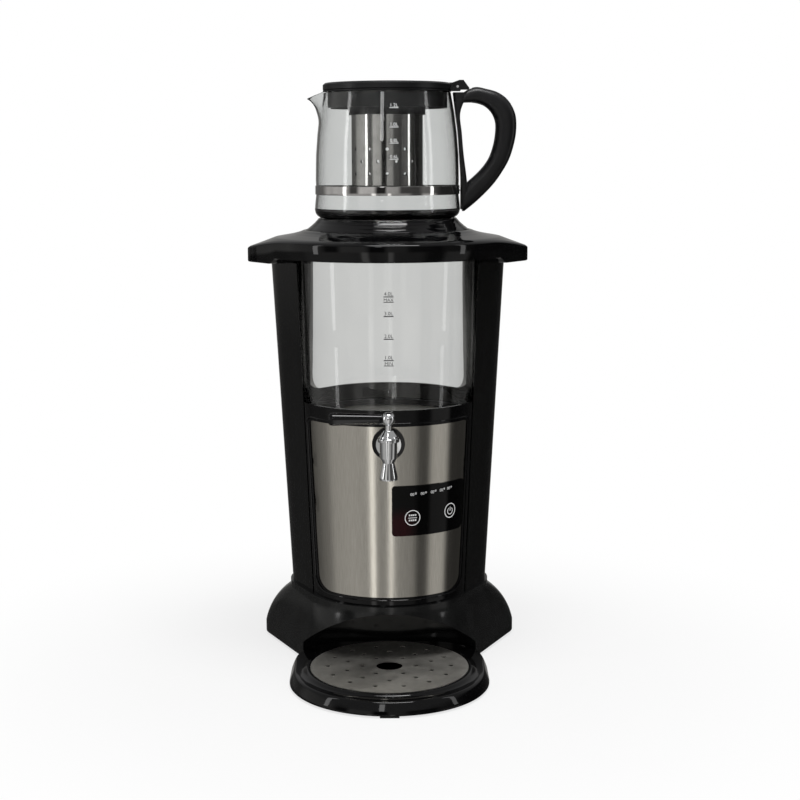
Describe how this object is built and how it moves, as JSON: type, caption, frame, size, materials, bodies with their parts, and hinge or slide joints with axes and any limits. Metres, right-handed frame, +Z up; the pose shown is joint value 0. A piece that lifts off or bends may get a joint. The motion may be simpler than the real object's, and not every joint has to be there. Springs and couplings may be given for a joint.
{
  "type": "automatic tea maker",
  "caption": "Tall tea maker with a glass water tank and tap over a drip tray, steel front with touch keys, and a lidded glass teapot with an infuser resting on its top.",
  "frame": {"origin": "middle of the overall footprint, on the surface the machine stands on", "axes": "+Z up, the front with the tap and touch keys faces -Y, +X to the right seen from the front, towards the teapot's handle"},
  "size_m": [0.279, 0.3134, 0.5815],
  "materials": {
    "gloss_black": "gloss",
    "satin_black": "satin",
    "brushed_steel": "brushed",
    "chrome": "polished",
    "clear_glass": "clear",
    "soft_rubber": "matte",
    "pale_silicone": "matte",
    "circuit_board": "satin"
  },
  "bodies": {
    "machine": {"base_housing": "gloss_black", "base_plate": "satin_black", "rubber_feet": "soft_rubber", "base_screws": "chrome", "cord_gland": "soft_rubber", "body_shell": "gloss_black", "front_frame": "gloss_black", "steel_front_panel": "brushed_steel", "touch_panel": "gloss_black", "touch_board": "circuit_board", "power_board": "circuit_board", "glass_tank": "clear_glass", "tank_seat": "satin_black", "tank_lower_seal": "pale_silicone", "tank_upper_seal": "pale_silicone", "heater_plate": "brushed_steel", "heating_element": "brushed_steel", "thermostat": "brushed_steel", "thermal_fuse": "circuit_board", "outlet_elbow": "pale_silicone", "tap_nut": "brushed_steel", "tap_escutcheon": "gloss_black", "tap_body": "chrome", "tap_cap": "chrome", "top_collar": "gloss_black"},
    "tap_turner": {"tap_plug": "chrome", "tap_ball": "chrome", "tap_lever": "satin_black"},
    "tank_cover": {"tank_lid": "gloss_black", "lid_gasket": "pale_silicone"},
    "teapot": {"pot_glass": "clear_glass", "pot_band": "brushed_steel", "pot_handle": "satin_black", "clamp_screw": "chrome"},
    "strainer": {"mouth_collar": "satin_black", "infuser_ring": "satin_black", "infuser_basket": "brushed_steel", "hinge_pin": "chrome"},
    "pot_cover": {"pot_lid": "satin_black"},
    "tray": {"drip_tray": "gloss_black", "tray_feet": "satin_black"},
    "grate": {"drip_grate": "brushed_steel"}
  },
  "joints": [
    {"name": "tap_turn", "type": "hinge", "parent": "machine", "child": "tap_turner", "pos_m": [0, -0.08925, 0.2665], "axis": [0, 0, 1], "range_deg": [0, 90]},
    {"name": "tank_lid_lift", "type": "slide", "parent": "machine", "child": "tank_cover", "axis": [0, 0, 1], "range_m": [0, 0.08]},
    {"name": "teapot_lift", "type": "slide", "parent": "tank_cover", "child": "teapot", "axis": [0, 0, 1], "range_m": [0, 0.1]},
    {"name": "strainer_lift", "type": "slide", "parent": "teapot", "child": "strainer", "axis": [0, 0, 1], "range_m": [0, 0.12]},
    {"name": "pot_lid_hinge", "type": "hinge", "parent": "strainer", "child": "pot_cover", "pos_m": [0.069, 0.03875, 0.575], "axis": [0, 1, 0], "range_deg": [0, 90]},
    {"name": "tray_pull", "type": "slide", "parent": "machine", "child": "tray", "axis": [0, -1, 0], "range_m": [0, 0.2]},
    {"name": "grate_lift", "type": "slide", "parent": "tray", "child": "grate", "axis": [0, 0, 1], "range_m": [0, 0.012]}
  ]
}
